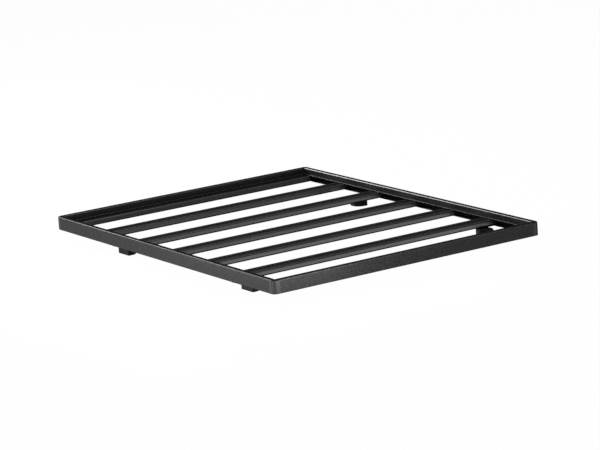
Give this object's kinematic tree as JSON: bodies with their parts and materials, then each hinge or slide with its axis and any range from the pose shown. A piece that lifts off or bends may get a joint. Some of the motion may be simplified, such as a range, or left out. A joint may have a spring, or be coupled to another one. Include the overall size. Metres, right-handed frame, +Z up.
{
  "type": "canopy rack",
  "caption": "Flat black aluminium tray rack for a truck canopy: extruded rails and rounded corners around slotted cross slats, on short bolt-down feet.",
  "frame": {"origin": "centre of the rack's plan, on the surface its feet stand on", "axes": "+Y along the rack's length, away from the viewer of the picture; +X across it, along the slats; +Z up"},
  "size_m": [1.02, 1.355, 0.0765],
  "materials": {
    "frame": "satin black powder coat over aluminium extrusion",
    "corner": "satin black powder coat over cast aluminium",
    "slat": "satin black powder coat over aluminium extrusion",
    "foot": "matt black powder coat over cast aluminium",
    "pad": "matt black rubber"
  },
  "bodies": {
    "root": {"side_rail_left": "frame", "side_rail_right": "frame", "end_rail_front": "frame", "end_rail_rear": "frame", "corner_front_left": "corner", "corner_front_right": "corner", "corner_rear_left": "corner", "corner_rear_right": "corner", "slat_1": "slat", "slat_2": "slat", "slat_3": "slat", "slat_4": "slat", "slat_5": "slat", "slat_6": "slat", "slat_7": "slat", "foot_bracket_front_left": "foot", "foot_bracket_front_right": "foot", "foot_bracket_rear_left": "foot", "foot_bracket_rear_right": "foot", "foot_pad_front_left": "pad", "foot_pad_front_right": "pad", "foot_pad_rear_left": "pad", "foot_pad_rear_right": "pad"}
  },
  "joints": []
}
